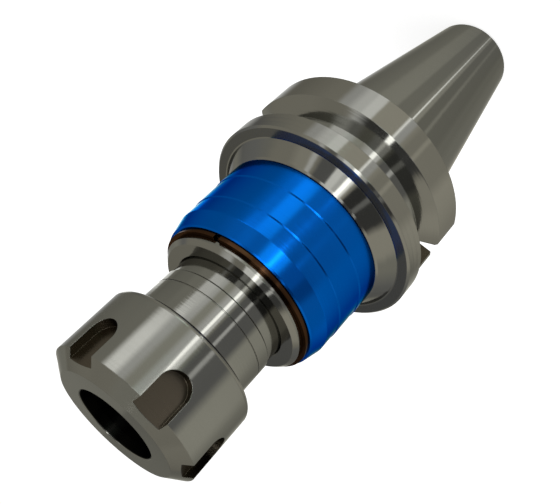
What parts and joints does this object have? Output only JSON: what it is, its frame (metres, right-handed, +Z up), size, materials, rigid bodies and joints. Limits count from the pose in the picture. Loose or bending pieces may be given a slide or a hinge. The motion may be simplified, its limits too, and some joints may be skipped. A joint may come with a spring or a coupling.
{
  "type": "collet chuck holder",
  "caption": "Steep-taper floating collet chuck holder: a sprung spindle slides in the shank, with a slotted clamping nut at its nose.",
  "frame": {"origin": "centre of the taper's gauge plane, where its diameter is 44.45 mm", "axes": "+Z along the tool axis from the taper to the clamping nut; +X through a drive key slot. Stood on the taper's small end, +Z is up"},
  "size_m": [0.063, 0.063, 0.1654],
  "materials": {
    "shank_steel": "ground and turned alloy steel, bright",
    "spindle_steel": "ground alloy steel, bright",
    "nut_steel": "fine turned alloy steel",
    "blue_anodised": "satin blue anodised",
    "spring_bronze": "brown oxidised spring steel",
    "black_rubber": "matt",
    "spring_wire": "drawn spring wire",
    "washer_steel": "hardened, ground",
    "bolt_steel": "black oxide",
    "ring_steel": "hardened, ground",
    "ball_steel": "polished bearing ball"
  },
  "bodies": {
    "shank": {"shank_body": "shank_steel", "cover_sleeve": "blue_anodised", "sleeve_snap_ring": "spring_bronze", "mouth_wiper_ring": "black_rubber", "guide_bolt": "bolt_steel", "tension_washer": "washer_steel", "compression_spring": "spring_wire", "tension_spring": "spring_wire", "drive_ball_1": "ball_steel", "drive_ball_2": "ball_steel", "drive_ball_3": "ball_steel", "drive_ball_4": "ball_steel", "drive_ball_5": "ball_steel", "drive_ball_6": "ball_steel", "drive_ball_7": "ball_steel", "drive_ball_8": "ball_steel"},
    "spindle": {"floating_spindle": "spindle_steel", "compression_washer": "washer_steel"},
    "thrust_ring": {"nut_thrust_ring": "ring_steel"},
    "nut": {"clamping_nut": "nut_steel", "thrust_ring_clip": "ring_steel"}
  },
  "joints": [
    {"name": "float_slide", "type": "slide", "parent": "shank", "child": "spindle", "axis": [0, 0, 1], "range_m": [-0.0045, 0.008], "stiffness_N_per_m": 20000, "deforming": ["compression_spring", "tension_spring"]},
    {"name": "nut_advance", "type": "slide", "parent": "spindle", "child": "thrust_ring", "axis": [0, 0, 1], "range_m": [0, 0.01051]},
    {"name": "nut_turn", "type": "hinge", "parent": "thrust_ring", "child": "nut", "pos_m": [0, 0, 0.089], "axis": [0, 0, 1], "range_deg": [0, 2520]}
  ],
  "couplings": [
    {"joint": "nut_advance", "follows": "nut_turn", "m_per_rad": 0.00023873}
  ]
}
